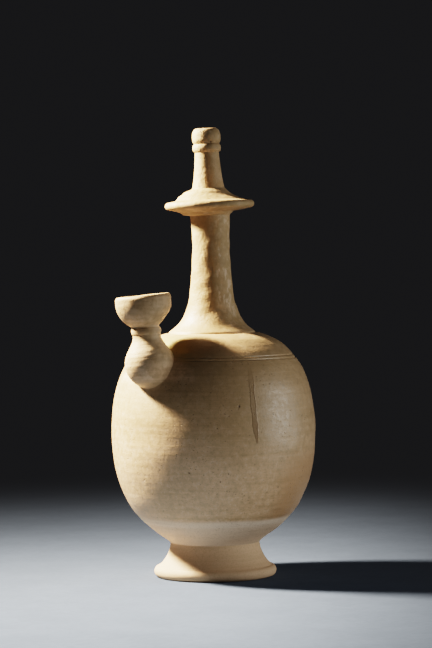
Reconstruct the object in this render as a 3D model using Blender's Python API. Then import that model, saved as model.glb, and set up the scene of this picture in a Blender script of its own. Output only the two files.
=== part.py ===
"""Kundika, a ritual water sprinkler of white-glazed stoneware.

The vessel is thrown in sections and luted together: a solid splayed foot, a broad body, a waisted neck,
a disc-shaped flange, a slim drinking tube with a ringed mouth, and on the shoulder a filling spout with a
round bulb, a short ringed neck and an open cup. It is fired as one piece of clay, and it is hollow.

Metres, +Z up. The origin is the centre of the foot's flat underside, on the axis of the body, and the
filling spout stands towards -X. Each section's height is its own, and the sections stack from the foot up.
A name that ends in PULL is how far a curve runs straight on from its end before it bends away.
"""

import math

import bmesh
import bpy
from mathutils import Matrix, Vector

MM = 0.001
QUARTER_TURN = math.pi / 2
SAME_PLACE = 0.01 * MM

# Foot: a solid splayed foot with a rounded bead round its edge
FOOT_CONTACT_RADIUS = 32.9 * MM
FOOT_BEAD_HEIGHT = 6.2 * MM
FOOT_BEAD_PROJECTION = 2.8 * MM
FOOT_BEAD_GROOVE_DEPTH = 0.7 * MM
FOOT_HEIGHT = 19.9 * MM
FOOT_WAIST_RADIUS = 25.9 * MM
FOOT_FLARE_INWARD_PULL = 1.9 * MM
FOOT_FLARE_UPWARD_PULL = 1.3 * MM
FOOT_WAIST_PULL = 5.4 * MM

# Body: thrown, with its widest point above the middle
BELLY_RADIUS = 59.3 * MM
BELLY_RISE = 65.1 * MM
BODY_ANGLE_AT_FOOT = math.radians(50)
BODY_FOOT_PULL = 8.4 * MM
BODY_BELLY_PULL = 50.8 * MM
BODY_WALL = 4.5 * MM
BASE_THICKNESS = 10.0 * MM
FLOOR_FLAT_SHARE = 0.6

# Shoulder
SHOULDER_RISE = 57.0 * MM
SHOULDER_BELLY_PULL = 20.5 * MM
SHOULDER_NECK_PULL = 29.5 * MM
SHOULDER_ANGLE_AT_NECK = math.radians(12)

# Incised lines: two round the shoulder, set in from the belly, and one round the seam of the neck
INCISED_LINE_WIDTH = 1.0 * MM
INCISED_LINE_DEPTH = 0.45 * MM
LOWER_LINE_INSET = 10.9 * MM
INCISED_LINE_SPACING = 1.3 * MM

# Neck: waisted, rising from a wide cove on the shoulder
NECK_SEAM_RADIUS = 25.6 * MM
NECK_COVE_ANGLE = math.radians(50)
NECK_COVE_SEAM_PULL = 3.5 * MM
NECK_COVE_TOP_PULL = 13.0 * MM
NECK_COVE_TOP_RADIUS = 14.0 * MM
NECK_COVE_RISE = 16.3 * MM
NECK_TAPER_ANGLE = math.radians(15.5)
NECK_TAPER_PULL = 7.8 * MM
NECK_WAIST_PULL = 3.0 * MM
NECK_WAIST_RADIUS = 10.9 * MM
NECK_TAPER_RISE = 32.2 * MM
NECK_TOP_RADIUS = 11.6 * MM
NECK_FLARE_RISE = 19.7 * MM
NECK_WALL = 3.4 * MM

# Flange: a disc between the neck and the tube, with a raised step under it and a sloping shoulder on it
FLANGE_RADIUS = 26.1 * MM
FLANGE_RIM_THICKNESS = 4.4 * MM
FLANGE_RIM_RISE = 6.0 * MM
FLANGE_STEP_RADIUS = 15.4 * MM
FLANGE_STEP_DEPTH = 1.3 * MM
FLANGE_UNDERSIDE_RISE = 1.8 * MM
FLANGE_BRIM_WIDTH = 4.1 * MM
FLANGE_BRIM_RISE = 0.8 * MM
FLANGE_LEDGE_RADIUS = 14.0 * MM
FLANGE_LEDGE_ROUNDING = 1.0 * MM
FLANGE_LEDGE_RISE = 7.7 * MM

# Tube: tapered, with a ring and a rounded mouth
TUBE_BASE_RADIUS = 9.6 * MM
TUBE_BASE_RISE = 1.9 * MM
TUBE_BASE_WALL = 4.4 * MM
TUBE_FLARE_INWARD_PULL = 1.6 * MM
TUBE_FLARE_UPWARD_PULL = 4.6 * MM
TUBE_TOP_PULL = 1.9 * MM
TUBE_TOP_RADIUS = 7.05 * MM
TUBE_LENGTH = 21.1 * MM
TUBE_WALL = 2.7 * MM
RING_HEIGHT = 4.9 * MM
RING_PROJECTION = 1.25 * MM

# Mouth of the tube
MOUTH_NECK_RADIUS = 7.35 * MM
MOUTH_NECK_PULL = 1.25 * MM
MOUTH_RADIUS = 8.35 * MM
MOUTH_SWELL_RISE = 4.1 * MM
MOUTH_SWELL_PULL = 2.05 * MM
MOUTH_LIP_RISE = 4.9 * MM
MOUTH_LIP_PULL = 2.9 * MM
MOUTH_LIP_WIDTH = 1.2 * MM
MOUTH_LIP_INWARD_PULL = 1.6 * MM
MOUTH_LIP_ROUNDING = 1.0 * MM
MOUTH_WALL = 4.05 * MM

# The upper section leans a little, because it was luted on by hand
LEAN_DIRECTION = math.radians(132)
FLANGE_TILT = math.radians(1.6)
TILT_START_BELOW_NECK_TOP = 12.0 * MM
TUBE_OFFSET = 0.25 * MM
FLANGE_HUB_OFFSET = 1.6 * MM

# Filling spout: where it stands on the shoulder
SPOUT_SEAT_DROP = 17.7 * MM
BULB_STANDOFF = 3.5 * MM
SPOUT_LEAN = math.radians(5.0)

# Filling spout: its bulb and its neck, along its own axis
BULB_RADIUS = 14.0 * MM
BULB_WALL = 3.6 * MM
BULB_SHOULDER_ANGLE = math.radians(24)
BULB_SHOULDER_PULL = 4.0 * MM
SPOUT_NECK_RISE = 1.8 * MM
SPOUT_NECK_RADIUS = 8.0 * MM
SPOUT_NECK_PULL = 3.6 * MM
SPOUT_NECK_WALL = 3.4 * MM
COLLAR_RISE = 1.1 * MM
COLLAR_HEIGHT = 3.6 * MM
COLLAR_PROJECTION = 0.6 * MM
LINK_HOLE_RADIUS = 4.5 * MM

# Filling spout: its cup
CUP_FOOT_RADIUS = 8.1 * MM
CUP_FOOT_RISE = 0.9 * MM
CUP_FOOT_OUTWARD_PULL = 4.0 * MM
CUP_FOOT_UPWARD_PULL = 2.3 * MM
CUP_RADIUS = 15.95 * MM
CUP_RISE = 13.2 * MM
CUP_SIDE_PULL = 6.4 * MM
CUP_LIP_RISE = 4.6 * MM
CUP_WALL = 3.4 * MM

# Facets round the vessel and the spout, and steps along their curves
VESSEL_SEGMENTS = 36
SPOUT_SEGMENTS = 24
LINK_HOLE_SEGMENTS = 12
LONG_CURVE_STEPS = 10
INSIDE_CURVE_STEPS = 6
CURVE_STEPS = 5
SHORT_CURVE_STEPS = 3
ROUND_EDGE_STEPS = 6
SHARP_EDGE_ANGLE = math.radians(35)

GLAZE_COLOUR = (0.80, 0.73, 0.60, 1.0)
GLAZE_ROUGHNESS = 0.32

# Heights above the floor, stacked from the foot up
BELLY_HEIGHT = FOOT_HEIGHT + BELLY_RISE
SHOULDER_TOP = BELLY_HEIGHT + SHOULDER_RISE
NECK_COVE_TOP = SHOULDER_TOP + NECK_COVE_RISE
NECK_WAIST_HEIGHT = NECK_COVE_TOP + NECK_TAPER_RISE
NECK_TOP = NECK_WAIST_HEIGHT + NECK_FLARE_RISE
FLANGE_RIM_HEIGHT = NECK_TOP + FLANGE_RIM_RISE
FLANGE_LEDGE_HEIGHT = FLANGE_RIM_HEIGHT + FLANGE_LEDGE_RISE
TUBE_BASE_HEIGHT = FLANGE_LEDGE_HEIGHT + TUBE_BASE_RISE
TUBE_TOP = TUBE_BASE_HEIGHT + TUBE_LENGTH
RING_TOP = TUBE_TOP + RING_HEIGHT
MOUTH_WIDEST_HEIGHT = RING_TOP + MOUTH_SWELL_RISE
VESSEL_TOP = MOUTH_WIDEST_HEIGHT + MOUTH_LIP_RISE

# Heights along the spout's own axis, stacked from the bulb's centre up
SPOUT_NECK_BOTTOM = BULB_RADIUS + SPOUT_NECK_RISE
COLLAR_BOTTOM = SPOUT_NECK_BOTTOM + COLLAR_RISE
CUP_FOOT_HEIGHT = COLLAR_BOTTOM + COLLAR_HEIGHT + CUP_FOOT_RISE
CUP_WIDEST_HEIGHT = CUP_FOOT_HEIGHT + CUP_RISE

# Radii that follow from a wall or an inset
LOWER_LINE_RADIUS = BELLY_RADIUS - LOWER_LINE_INSET
UPPER_LINE_RADIUS = LOWER_LINE_RADIUS - INCISED_LINE_SPACING
FLANGE_SLOPE_RADIUS = FLANGE_RADIUS - FLANGE_RIM_THICKNESS / 2 - FLANGE_BRIM_WIDTH
NECK_BORE_RADIUS = NECK_WAIST_RADIUS - NECK_WALL
MOUTH_BORE_RADIUS = MOUTH_RADIUS - MOUTH_WALL
SPOUT_BORE_RADIUS = SPOUT_NECK_RADIUS - SPOUT_NECK_WALL
BULB_HOLLOW_RADIUS = BULB_RADIUS - BULB_WALL
CUP_INSIDE_RADIUS = CUP_RADIUS - CUP_WALL


def bezier(start, start_pull, end_pull, end, steps):
    """Points of a cubic curve between two ends, leaving out its first point."""
    points = []
    for step in range(1, steps + 1):
        t = step / steps
        u = 1 - t
        radius = (
            u**3 * start[0] + 3 * u * u * t * start_pull[0]
            + 3 * u * t * t * end_pull[0] + t**3 * end[0]
        )
        height = (
            u**3 * start[1] + 3 * u * u * t * start_pull[1]
            + 3 * u * t * t * end_pull[1] + t**3 * end[1]
        )
        points.append((radius, height))
    return points


def along(start, angle, distance):
    """The point at a distance from another, at an angle up from the outward direction."""
    return (start[0] + distance * math.cos(angle), start[1] + distance * math.sin(angle))


def arc(centre, half_width, half_height, first_angle, last_angle, steps):
    """Points of an elliptical arc, both ends included. Angle 0 points away from the axis."""
    points = []
    for step in range(steps + 1):
        angle = first_angle + (last_angle - first_angle) * step / steps
        radius = centre[0] + half_width * math.cos(angle)
        height = centre[1] + half_height * math.sin(angle)
        points.append((radius, height))
    return points


def offset_left(points, distance):
    """The points moved sideways by a distance, towards the left of their direction of travel."""
    moved = []
    last = len(points) - 1
    for index, (radius, height) in enumerate(points):
        before = points[max(index - 1, 0)]
        after = points[min(index + 1, last)]
        travel = Vector((after[0] - before[0], after[1] - before[1])).normalized()
        moved.append((radius - travel.y * distance, height + travel.x * distance))
    return moved


def with_incised_line(points, radius):
    """The points with a shallow V cut into them where the curve passes this radius on its way in."""
    half = INCISED_LINE_WIDTH / 2
    passing = [n for n in range(len(points) - 1) if points[n][0] >= radius > points[n + 1][0]]
    index = passing[0]
    run = Vector(points[index + 1]) - Vector(points[index])
    travel = run.normalized()
    middle = Vector(points[index]) + run * (points[index][0] - radius) / -run.x
    inward = Vector((-travel.y, travel.x))
    groove = [
        tuple(middle - travel * half),
        tuple(middle + inward * INCISED_LINE_DEPTH),
        tuple(middle + travel * half),
    ]
    before = [point for point in points[: index + 1] if (Vector(point) - middle).dot(travel) < -half]
    after = [point for point in points[index + 1 :] if (Vector(point) - middle).dot(travel) > half]
    return before + groove + after


def foot_outline():
    """From the axis along the flat underside, round the bead and up the concave flare to the waist."""
    half = FOOT_BEAD_HEIGHT / 2
    bead_middle = (FOOT_CONTACT_RADIUS, half)
    groove = (FOOT_CONTACT_RADIUS - FOOT_BEAD_GROOVE_DEPTH, FOOT_BEAD_HEIGHT + FOOT_BEAD_GROOVE_DEPTH)
    points = [(0.0, 0.0)]
    points += arc(bead_middle, FOOT_BEAD_PROJECTION, half, -QUARTER_TURN, QUARTER_TURN, ROUND_EDGE_STEPS)
    points.append(groove)
    points += bezier(
        groove,
        (groove[0] - FOOT_FLARE_INWARD_PULL, groove[1] + FOOT_FLARE_UPWARD_PULL),
        (FOOT_WAIST_RADIUS, FOOT_HEIGHT - FOOT_WAIST_PULL),
        (FOOT_WAIST_RADIUS, FOOT_HEIGHT),
        CURVE_STEPS,
    )
    return points


def lower_body(steps):
    """The body's wall from the waist of the foot to the belly."""
    waist = (FOOT_WAIST_RADIUS, FOOT_HEIGHT)
    return bezier(
        waist,
        along(waist, BODY_ANGLE_AT_FOOT, BODY_FOOT_PULL),
        (BELLY_RADIUS, BELLY_HEIGHT - BODY_BELLY_PULL),
        (BELLY_RADIUS, BELLY_HEIGHT),
        steps,
    )


def shoulder(steps):
    """The body's wall from the belly to the seam of the neck."""
    seam = (NECK_SEAM_RADIUS, SHOULDER_TOP)
    return bezier(
        (BELLY_RADIUS, BELLY_HEIGHT),
        (BELLY_RADIUS, BELLY_HEIGHT + SHOULDER_BELLY_PULL),
        along(seam, -SHOULDER_ANGLE_AT_NECK, SHOULDER_NECK_PULL),
        seam,
        steps,
    )


def body_wall(steps):
    """The body's whole wall, from the waist of the foot over the belly to the seam of the neck."""
    return [(FOOT_WAIST_RADIUS, FOOT_HEIGHT)] + lower_body(steps) + shoulder(steps)


def neck():
    """The neck's wall: the groove of its seam, the cove, the long taper and the flare under the flange."""
    seam_bottom = (NECK_SEAM_RADIUS - INCISED_LINE_WIDTH / 2, SHOULDER_TOP - INCISED_LINE_DEPTH)
    cove_bottom = (NECK_SEAM_RADIUS - INCISED_LINE_WIDTH, SHOULDER_TOP + INCISED_LINE_DEPTH / 2)
    cove_top = (NECK_COVE_TOP_RADIUS, NECK_COVE_TOP)
    waist = (NECK_WAIST_RADIUS, NECK_WAIST_HEIGHT)
    upward = QUARTER_TURN + NECK_TAPER_ANGLE
    third = NECK_FLARE_RISE / 3
    points = [seam_bottom, cove_bottom]
    points += bezier(
        cove_bottom,
        along(cove_bottom, math.pi - NECK_COVE_ANGLE, NECK_COVE_SEAM_PULL),
        along(cove_top, upward, -NECK_COVE_TOP_PULL),
        cove_top,
        CURVE_STEPS,
    )
    points += bezier(
        cove_top,
        along(cove_top, upward, NECK_TAPER_PULL),
        (NECK_WAIST_RADIUS, NECK_WAIST_HEIGHT - NECK_WAIST_PULL),
        waist,
        CURVE_STEPS,
    )
    points += bezier(
        waist,
        (NECK_WAIST_RADIUS, NECK_WAIST_HEIGHT + third),
        (NECK_WAIST_RADIUS, NECK_TOP - third),
        (NECK_TOP_RADIUS, NECK_TOP),
        SHORT_CURVE_STEPS,
    )
    return points


def flange_outline():
    """The step and shallow cone under the flange, its rounded rim, and the brim, slope and ledge on it."""
    half = FLANGE_RIM_THICKNESS / 2
    rim_middle = (FLANGE_RADIUS - half, FLANGE_RIM_HEIGHT)
    underside = FLANGE_RIM_HEIGHT - half - FLANGE_UNDERSIDE_RISE
    points = [
        (FLANGE_STEP_RADIUS - FLANGE_STEP_DEPTH, underside - FLANGE_STEP_DEPTH),
        (FLANGE_STEP_RADIUS, underside),
    ]
    points += arc(rim_middle, half, half, -QUARTER_TURN, QUARTER_TURN, ROUND_EDGE_STEPS)
    points += [
        (FLANGE_SLOPE_RADIUS, FLANGE_RIM_HEIGHT + half + FLANGE_BRIM_RISE),
        (FLANGE_LEDGE_RADIUS, FLANGE_LEDGE_HEIGHT - FLANGE_LEDGE_ROUNDING),
        (FLANGE_LEDGE_RADIUS - FLANGE_LEDGE_ROUNDING, FLANGE_LEDGE_HEIGHT),
    ]
    return points


def tube_outline():
    """The tube's taper and its ring."""
    base = (TUBE_BASE_RADIUS, TUBE_BASE_HEIGHT)
    half_ring = RING_HEIGHT / 2
    ring_middle = (TUBE_TOP_RADIUS, TUBE_TOP + half_ring)
    points = [base]
    points += bezier(
        base,
        (TUBE_BASE_RADIUS - TUBE_FLARE_INWARD_PULL, TUBE_BASE_HEIGHT + TUBE_FLARE_UPWARD_PULL),
        (TUBE_TOP_RADIUS, TUBE_TOP - TUBE_TOP_PULL),
        (TUBE_TOP_RADIUS, TUBE_TOP),
        CURVE_STEPS,
    )
    ring = arc(ring_middle, RING_PROJECTION, half_ring, -QUARTER_TURN, QUARTER_TURN, ROUND_EDGE_STEPS)
    return points + ring[1:-1]


def mouth_outline():
    """The tube's rounded mouth, from the top of the ring to the flat of the lip."""
    bottom = (MOUTH_NECK_RADIUS, RING_TOP)
    widest = (MOUTH_RADIUS, MOUTH_WIDEST_HEIGHT)
    lip = (MOUTH_BORE_RADIUS + MOUTH_LIP_WIDTH, VESSEL_TOP)
    points = [bottom]
    points += bezier(
        bottom,
        (MOUTH_RADIUS, RING_TOP + MOUTH_NECK_PULL),
        (MOUTH_RADIUS, MOUTH_WIDEST_HEIGHT - MOUTH_SWELL_PULL),
        widest,
        SHORT_CURVE_STEPS,
    )
    points += bezier(
        widest,
        (MOUTH_RADIUS, MOUTH_WIDEST_HEIGHT + MOUTH_LIP_PULL),
        (lip[0] + MOUTH_LIP_INWARD_PULL, VESSEL_TOP),
        lip,
        CURVE_STEPS,
    )
    return points


def vessel_inside():
    """Down the bore of the tube, through the neck and round the hollow body to the middle of its floor."""
    hollow = offset_left(body_wall(INSIDE_CURVE_STEPS), BODY_WALL)
    under_shoulder = hollow[-1]
    neck_bottom = (NECK_BORE_RADIUS, NECK_COVE_TOP)
    floor_edge = hollow[0]
    fall = floor_edge[1] - BASE_THICKNESS
    points = [
        (MOUTH_BORE_RADIUS, VESSEL_TOP - MOUTH_LIP_ROUNDING),
        (TUBE_TOP_RADIUS - TUBE_WALL, TUBE_TOP),
        (TUBE_BASE_RADIUS - TUBE_BASE_WALL, TUBE_BASE_HEIGHT),
        (NECK_BORE_RADIUS, NECK_TOP - NECK_WALL),
        neck_bottom,
    ]
    points += bezier(
        neck_bottom,
        (NECK_BORE_RADIUS, SHOULDER_TOP + NECK_WALL),
        (NECK_BORE_RADIUS + NECK_WALL * 2, under_shoulder[1]),
        under_shoulder,
        SHORT_CURVE_STEPS,
    )
    points += reversed(hollow[:-1])
    points += bezier(
        floor_edge,
        along(floor_edge, BODY_ANGLE_AT_FOOT, -fall / 2),
        (floor_edge[0] * FLOOR_FLAT_SHARE, BASE_THICKNESS),
        (0.0, BASE_THICKNESS),
        SHORT_CURVE_STEPS,
    )
    return points


def vessel_outline():
    """The whole closed profile: up the outside, over the lip and down the inside."""
    wall = with_incised_line(body_wall(LONG_CURVE_STEPS)[1:], LOWER_LINE_RADIUS)
    wall = with_incised_line(wall, UPPER_LINE_RADIUS)
    outside = foot_outline() + wall + neck() + flange_outline() + tube_outline() + mouth_outline()
    return outside + vessel_inside()


def bulb_outline():
    """The spout's bulb and neck with its collar, along the spout's own axis, from the bulb's bottom up."""
    bulb = arc((0.0, 0.0), BULB_RADIUS, BULB_RADIUS, -QUARTER_TURN, BULB_SHOULDER_ANGLE, ROUND_EDGE_STEPS + 2)
    bulb[0] = (0.0, -BULB_RADIUS)
    half_collar = COLLAR_HEIGHT / 2
    collar_middle = (SPOUT_NECK_RADIUS, COLLAR_BOTTOM + half_collar)
    rise = bezier(
        bulb[-1],
        along(bulb[-1], QUARTER_TURN + BULB_SHOULDER_ANGLE, BULB_SHOULDER_PULL),
        (SPOUT_NECK_RADIUS, SPOUT_NECK_BOTTOM - SPOUT_NECK_PULL),
        (SPOUT_NECK_RADIUS, SPOUT_NECK_BOTTOM),
        CURVE_STEPS,
    )
    collar = arc(collar_middle, COLLAR_PROJECTION, half_collar, -QUARTER_TURN, QUARTER_TURN, CURVE_STEPS)
    return bulb + rise + collar


def cup_outline():
    """The spout's cup: its flaring wall, its rounded lip and its inside, down to the bore."""
    foot = (CUP_FOOT_RADIUS, CUP_FOOT_HEIGHT)
    half_wall = CUP_WALL / 2
    half_lip = CUP_LIP_RISE / 2
    lip_middle = (CUP_RADIUS - half_wall, CUP_WIDEST_HEIGHT + half_lip)
    inside_top = (CUP_INSIDE_RADIUS, CUP_WIDEST_HEIGHT)
    inside_floor = CUP_FOOT_HEIGHT + CUP_WALL
    points = [foot]
    points += bezier(
        foot,
        (CUP_FOOT_RADIUS + CUP_FOOT_OUTWARD_PULL, CUP_FOOT_HEIGHT + CUP_FOOT_UPWARD_PULL),
        (CUP_RADIUS, CUP_WIDEST_HEIGHT - CUP_SIDE_PULL),
        (CUP_RADIUS, CUP_WIDEST_HEIGHT),
        INSIDE_CURVE_STEPS,
    )
    points += arc(lip_middle, half_wall, half_lip, 0.0, math.pi, CURVE_STEPS)
    points.append(inside_top)
    points += bezier(
        inside_top,
        (CUP_INSIDE_RADIUS, CUP_WIDEST_HEIGHT - CUP_SIDE_PULL),
        (SPOUT_BORE_RADIUS + CUP_WALL, inside_floor + half_wall),
        (SPOUT_BORE_RADIUS, inside_floor),
        CURVE_STEPS,
    )
    return points


def spout_outline():
    """The spout's closed profile along its own axis, from the bottom of its bulb up and back down inside."""
    bore_half_angle = math.asin(SPOUT_BORE_RADIUS / BULB_HOLLOW_RADIUS)
    hollow = arc(
        (0.0, 0.0),
        BULB_HOLLOW_RADIUS,
        BULB_HOLLOW_RADIUS,
        QUARTER_TURN - bore_half_angle,
        -QUARTER_TURN,
        ROUND_EDGE_STEPS,
    )
    hollow[-1] = (0.0, -BULB_HOLLOW_RADIUS)
    return bulb_outline() + cup_outline() + hollow


def turned_mesh(name, outline, segments):
    """A mesh made by turning a profile of (radius, height) points round the Z axis."""
    shape = bmesh.new()
    corners = [shape.verts.new((radius, 0.0, height)) for radius, height in outline]
    edges = [shape.edges.new(pair) for pair in zip(corners, corners[1:])]
    bmesh.ops.spin(
        shape,
        geom=corners + edges,
        cent=(0, 0, 0),
        axis=(0, 0, 1),
        angle=2 * math.pi,
        steps=segments,
        use_merge=True,
    )
    bmesh.ops.remove_doubles(shape, verts=shape.verts, dist=SAME_PLACE)
    bmesh.ops.recalc_face_normals(shape, faces=shape.faces)
    mesh = bpy.data.meshes.new(name)
    shape.to_mesh(mesh)
    shape.free()
    return mesh


def smooth_ramp(value, start, end):
    """0 before start, 1 after end, and a smooth change between them."""
    share = min(max((value - start) / (end - start), 0.0), 1.0)
    return share * share * (3 - 2 * share)


def on_flange_hub(radius, height):
    """Whether a point lies on the step under the flange or on the ledge that the tube stands on."""
    between = NECK_TOP + SAME_PLACE < height < FLANGE_LEDGE_HEIGHT + SAME_PLACE
    return between and radius < FLANGE_SLOPE_RADIUS - SAME_PLACE


def lean_upper_section(mesh):
    """Tilts all that stands above the neck, and sets the hub and tube a little off the flange's middle."""
    direction = Vector((math.cos(LEAN_DIRECTION), math.sin(LEAN_DIRECTION), 0.0))
    tilt_axis = Vector((0.0, 0.0, 1.0)).cross(direction)
    start = NECK_TOP - TILT_START_BELOW_NECK_TOP
    pivot = Vector((0.0, 0.0, start))
    for corner in mesh.vertices:
        height = corner.co.z
        angle = FLANGE_TILT * smooth_ramp(height, start, NECK_TOP)
        shift = TUBE_OFFSET * smooth_ramp(height, FLANGE_LEDGE_HEIGHT, TUBE_BASE_HEIGHT)
        if on_flange_hub(math.hypot(corner.co.x, corner.co.y), height):
            shift = FLANGE_HUB_OFFSET
        place = corner.co + direction * shift
        corner.co = Matrix.Rotation(angle, 3, tilt_axis) @ (place - pivot) + pivot


def glaze():
    """Creamy, slightly glossy glaze over a white slip."""
    material = bpy.data.materials.new("cream_glaze")
    material.use_nodes = True
    shader = material.node_tree.nodes["Principled BSDF"]
    shader.inputs["Base Color"].default_value = GLAZE_COLOUR
    shader.inputs["Roughness"].default_value = GLAZE_ROUGHNESS
    shader.inputs["Metallic"].default_value = 0.0
    return material


def add_object(name, mesh, material):
    thing = bpy.data.objects.new(name, mesh)
    mesh.materials.append(material)
    bpy.context.scene.collection.objects.link(thing)
    return thing


def as_helper(thing):
    """Keeps an object that only shapes another one out of the model."""
    thing.hide_render = True
    thing.display_type = "WIRE"
    return thing


def add_boolean(thing, operation, other):
    boolean = thing.modifiers.new(other.name, "BOOLEAN")
    boolean.operation = operation
    boolean.solver = "EXACT"
    boolean.object = other


def spout_seat():
    """The point of the shoulder that the spout stands on, and the way out of the wall there.

    Both are (away from the body's axis, up).
    """
    wall = shoulder(LONG_CURVE_STEPS * CURVE_STEPS)
    height = SHOULDER_TOP - SPOUT_SEAT_DROP
    below, above = min(zip(wall, wall[1:]), key=lambda pair: abs(pair[0][1] - height))
    travel = Vector(above) - Vector(below)
    seat = Vector(below) + travel * (height - below[1]) / travel.y
    return seat, Vector((travel.y, -travel.x)).normalized()


def bulb_centre():
    """The centre of the spout's bulb, which stands on the shoulder towards -X."""
    seat, outward = spout_seat()
    centre = seat + outward * BULB_STANDOFF
    return Vector((-centre.x, 0.0, centre.y))


def build_spout(clay, body_core):
    """The spout, upright on its own axis until it is placed, with what would reach into the body cut off."""
    mesh = turned_mesh("spout", spout_outline(), SPOUT_SEGMENTS)
    lean_axis = Vector((-math.sin(LEAN_DIRECTION), math.cos(LEAN_DIRECTION), 0.0))
    mesh.transform(Matrix.Translation(bulb_centre()) @ Matrix.Rotation(SPOUT_LEAN, 4, lean_axis))
    spout = as_helper(add_object("spout", mesh, clay))
    add_boolean(spout, "DIFFERENCE", body_core)
    return spout


def build_body_core(clay):
    """The body's shape at the middle of its wall."""
    outline = [(0.0, FOOT_HEIGHT)] + offset_left(body_wall(LONG_CURVE_STEPS), BODY_WALL / 2)
    outline.append((0.0, outline[-1][1]))
    mesh = turned_mesh("body_core", outline, VESSEL_SEGMENTS)
    return as_helper(add_object("body_core", mesh, clay))


def build_link_hole(clay):
    """The hole through the shoulder that joins the bulb's hollow to the body's."""
    _, outward = spout_seat()
    inward = Vector((outward.x, 0.0, -outward.y))
    shape = bmesh.new()
    bmesh.ops.create_cone(
        shape,
        cap_ends=True,
        segments=LINK_HOLE_SEGMENTS,
        radius1=LINK_HOLE_RADIUS,
        radius2=LINK_HOLE_RADIUS,
        depth=BULB_RADIUS + BODY_WALL,
    )
    turn = inward.to_track_quat("Z", "Y").to_matrix().to_4x4()
    middle = bulb_centre() + inward * (BODY_WALL + BULB_WALL) / 2
    bmesh.ops.transform(shape, matrix=Matrix.Translation(middle) @ turn, verts=shape.verts)
    mesh = bpy.data.meshes.new("link_hole")
    shape.to_mesh(mesh)
    shape.free()
    return as_helper(add_object("link_hole", mesh, clay))


def build_kundika():
    """The whole vessel, with its spout joined on and opened into the body."""
    clay = glaze()
    mesh = turned_mesh("kundika", vessel_outline(), VESSEL_SEGMENTS)
    lean_upper_section(mesh)
    vessel = add_object("kundika", mesh, clay)
    add_boolean(vessel, "UNION", build_spout(clay, build_body_core(clay)))
    add_boolean(vessel, "DIFFERENCE", build_link_hole(clay))
    mesh.shade_smooth()
    mesh.set_sharp_from_angle(angle=SHARP_EDGE_ANGLE)


def main():
    for thing in list(bpy.data.objects):
        bpy.data.objects.remove(thing, do_unlink=True)
    build_kundika()


main()
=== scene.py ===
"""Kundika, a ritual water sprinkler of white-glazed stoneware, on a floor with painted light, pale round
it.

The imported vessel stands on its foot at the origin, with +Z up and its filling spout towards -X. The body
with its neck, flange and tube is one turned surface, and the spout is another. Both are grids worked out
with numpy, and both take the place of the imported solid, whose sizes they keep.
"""

import math
from functools import partial

import bpy
import numpy as np
from mathutils import Matrix, Vector


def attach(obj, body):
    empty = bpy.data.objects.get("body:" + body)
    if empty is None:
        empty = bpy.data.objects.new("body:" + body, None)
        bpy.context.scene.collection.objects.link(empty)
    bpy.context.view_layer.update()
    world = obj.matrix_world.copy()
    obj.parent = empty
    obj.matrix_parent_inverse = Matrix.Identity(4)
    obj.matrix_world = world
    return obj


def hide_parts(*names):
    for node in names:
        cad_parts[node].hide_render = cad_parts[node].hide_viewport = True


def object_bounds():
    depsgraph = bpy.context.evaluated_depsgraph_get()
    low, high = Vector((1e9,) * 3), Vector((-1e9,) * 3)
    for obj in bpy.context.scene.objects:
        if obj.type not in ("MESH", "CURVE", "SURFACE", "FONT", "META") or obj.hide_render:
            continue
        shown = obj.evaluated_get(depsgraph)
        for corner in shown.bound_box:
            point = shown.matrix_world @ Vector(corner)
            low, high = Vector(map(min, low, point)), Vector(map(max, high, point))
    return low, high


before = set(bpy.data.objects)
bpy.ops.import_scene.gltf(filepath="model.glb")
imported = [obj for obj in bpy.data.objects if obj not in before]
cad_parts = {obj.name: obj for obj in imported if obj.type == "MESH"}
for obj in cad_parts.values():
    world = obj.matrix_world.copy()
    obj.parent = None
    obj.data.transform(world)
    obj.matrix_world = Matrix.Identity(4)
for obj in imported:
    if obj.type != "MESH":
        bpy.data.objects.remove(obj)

bl_info = {
    "name": "Kundika",
    "version": (1, 0, 0),
    "blender": (4, 5, 0),
    "location": "View3D > Sidebar > Kundika",
    "description": "Builds a glazed stoneware water sprinkler and the plain stage that it stands on",
    "category": "Object",
}

NODE = "kundika"
BODY = "root"
CAD_BOX = [list(corner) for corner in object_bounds()]

MM = 0.001
QUARTER_TURN = math.pi / 2
FULL_TURN = math.tau
UP = Vector((0.0, 0.0, 1.0))

# Foot
FOOT_CONTACT_RADIUS = 32.9 * MM
FOOT_BEAD_HEIGHT = 6.2 * MM
FOOT_BEAD_PROJECTION = 2.8 * MM
FOOT_BEAD_GROOVE_DEPTH = 0.7 * MM
FOOT_HEIGHT = 19.9 * MM
FOOT_WAIST_RADIUS = 25.9 * MM
FOOT_FLARE_INWARD_PULL = 1.9 * MM
FOOT_FLARE_UPWARD_PULL = 1.3 * MM
FOOT_WAIST_PULL = 5.4 * MM

# Body
BELLY_RADIUS = 59.3 * MM
BELLY_RISE = 65.1 * MM
BODY_ANGLE_AT_FOOT = math.radians(50)
BODY_FOOT_PULL = 8.4 * MM
BODY_BELLY_PULL = 50.8 * MM
BODY_WALL = 4.5 * MM
BASE_THICKNESS = 10.0 * MM
FLOOR_FLAT_SHARE = 0.6

# Shoulder, with its two incised lines
SHOULDER_RISE = 57.0 * MM
SHOULDER_BELLY_PULL = 20.5 * MM
SHOULDER_NECK_PULL = 29.5 * MM
SHOULDER_ANGLE_AT_NECK = math.radians(12)
LOWER_LINE_INSET = 10.9 * MM
INCISED_LINE_SPACING = 1.3 * MM

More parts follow.
